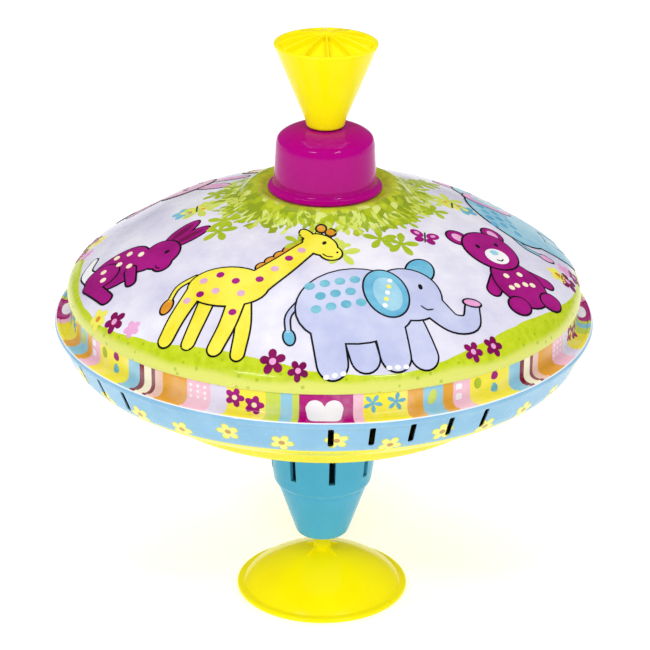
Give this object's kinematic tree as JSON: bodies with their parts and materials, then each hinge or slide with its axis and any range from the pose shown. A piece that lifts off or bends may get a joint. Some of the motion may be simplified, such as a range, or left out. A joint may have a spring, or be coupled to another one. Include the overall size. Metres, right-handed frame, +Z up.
{
  "type": "spinning top",
  "caption": "Pump humming top: printed tin drum with a domed lid that spins on a plastic foot, driven by a knob on a twisted rod.",
  "frame": {"origin": "middle of the foot's underside, on the surface the top stands on", "axes": "+Z up along the spin axis, -Y the front that carries the printed scene's middle"},
  "size_m": [0.19, 0.19, 0.212],
  "materials": {
    "yellow_plastic": "glossy moulded plastic",
    "magenta_plastic": "glossy moulded plastic",
    "blue_plastic": "semi-gloss moulded plastic",
    "printed_tin_upper": "printed and varnished tinplate",
    "printed_tin_lower": "printed and varnished tinplate",
    "white_plastic": "natural nylon",
    "steel": "bright steel",
    "brass": "rolled brass"
  },
  "bodies": {
    "foot": {"foot": "yellow_plastic", "pivot_pin": "steel", "pin_clip": "steel", "thrust_washer": "white_plastic"},
    "plunger": {"knob": "yellow_plastic", "twisted_rod": "steel", "rod_end_stop": "white_plastic"},
    "drive_nut": {"drive_nut": "white_plastic"},
    "rotor": {"pivot_bush": "brass", "cone_housing": "blue_plastic", "lock_ring": "white_plastic", "cone_screws": "steel", "lower_shell": "printed_tin_lower", "upper_shell": "printed_tin_upper", "reed_plate": "white_plastic", "reeds": "brass", "reed_rivets": "brass", "reed_screws": "steel", "guide_tube": "steel", "cap_ring": "white_plastic", "cap_screws": "steel", "cap": "magenta_plastic", "clutch_ring": "white_plastic", "clutch_washer": "white_plastic"}
  },
  "joints": [
    {"name": "plunger_slide", "type": "slide", "parent": "foot", "child": "plunger", "axis": [0, 0, 1], "range_m": [0, 0.109]},
    {"name": "nut_turn", "type": "hinge", "parent": "foot", "child": "drive_nut", "pos_m": [0, 0, 0.163], "axis": [0, 0, 1], "range_deg": [-785, 0]},
    {"name": "rotor_spin", "type": "hinge", "parent": "foot", "child": "rotor", "pos_m": [0, 0, 0.022], "axis": [0, 0, 1], "continuous": true}
  ],
  "couplings": [
    {"joint": "nut_turn", "follows": "plunger_slide", "rad_per_m": -125.66}
  ]
}
